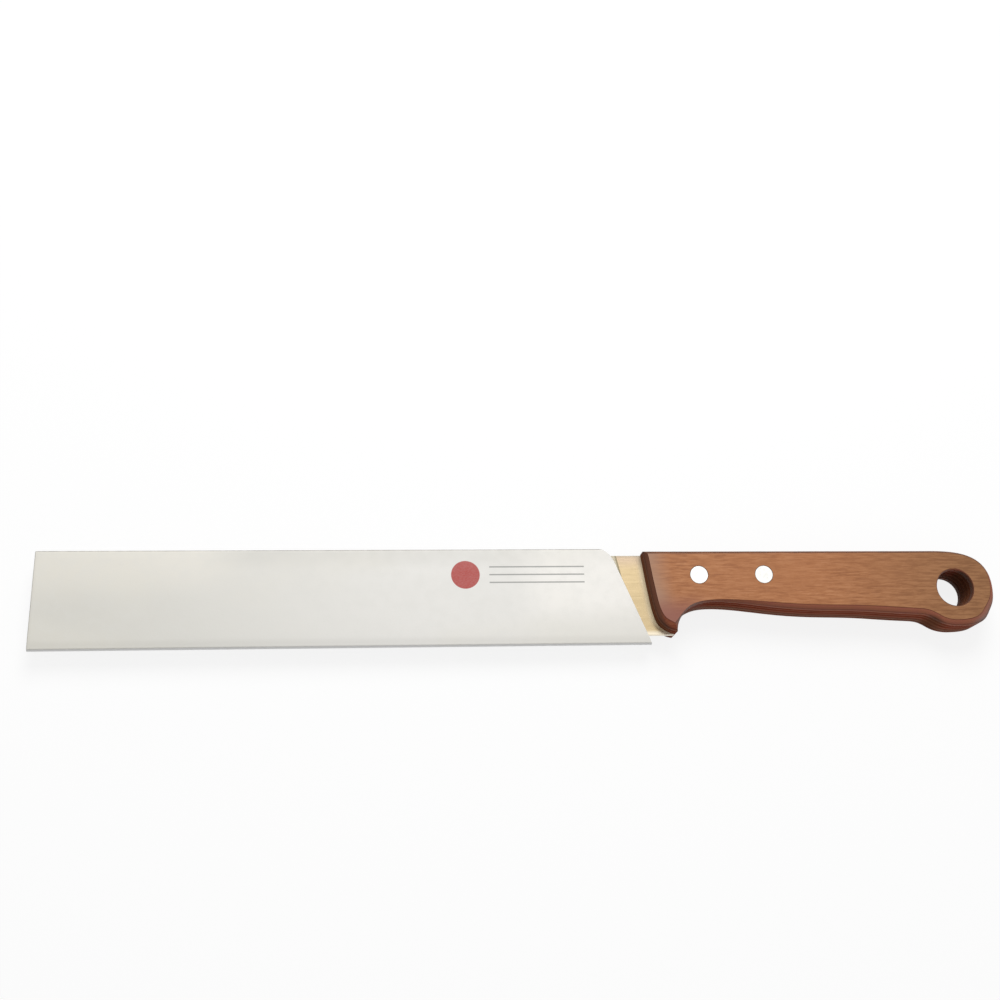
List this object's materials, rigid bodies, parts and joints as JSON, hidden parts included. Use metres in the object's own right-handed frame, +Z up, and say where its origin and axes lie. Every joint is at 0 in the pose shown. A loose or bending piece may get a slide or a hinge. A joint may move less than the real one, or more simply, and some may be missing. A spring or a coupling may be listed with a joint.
{
  "type": "carving knife",
  "caption": "Carving knife with a ground steel blade, riveted laminated wood handle with finger notch and hanging hole, in a pull-off card sleeve.",
  "frame": {"origin": "under the middle of the object lying on its side, at the level of the handle's lower cheek", "axes": "+X along the knife from the point to the butt, +Y from the cutting edge to the spine, +Z up through the thickness"},
  "size_m": [0.335, 0.0346, 0.0138],
  "materials": {
    "blade_steel": "fine satin, ground lengthwise",
    "face_wood": "resin filled, smooth satin",
    "dark_wood": "resin filled, smooth satin",
    "light_wood": "resin filled, smooth satin",
    "rivet_metal": "bright, ground flush",
    "card": "white coated card, slight sheen"
  },
  "bodies": {
    "knife": {"blade": "blade_steel", "core_veneer": "light_wood", "near_veneer_1": "dark_wood", "near_veneer_2": "light_wood", "near_veneer_3": "dark_wood", "far_veneer_1": "dark_wood", "far_veneer_2": "light_wood", "far_veneer_3": "dark_wood", "near_face_veneer": "face_wood", "far_face_veneer": "face_wood", "front_rivet_tube": "rivet_metal", "front_rivet_pin": "rivet_metal", "rear_rivet_tube": "rivet_metal", "rear_rivet_pin": "rivet_metal"},
    "sleeve": {"card_sleeve": "card"}
  },
  "joints": [
    {"name": "sleeve_pull", "type": "slide", "parent": "knife", "child": "sleeve", "axis": [-1, 0, 0], "range_m": [0, 0.21]}
  ]
}
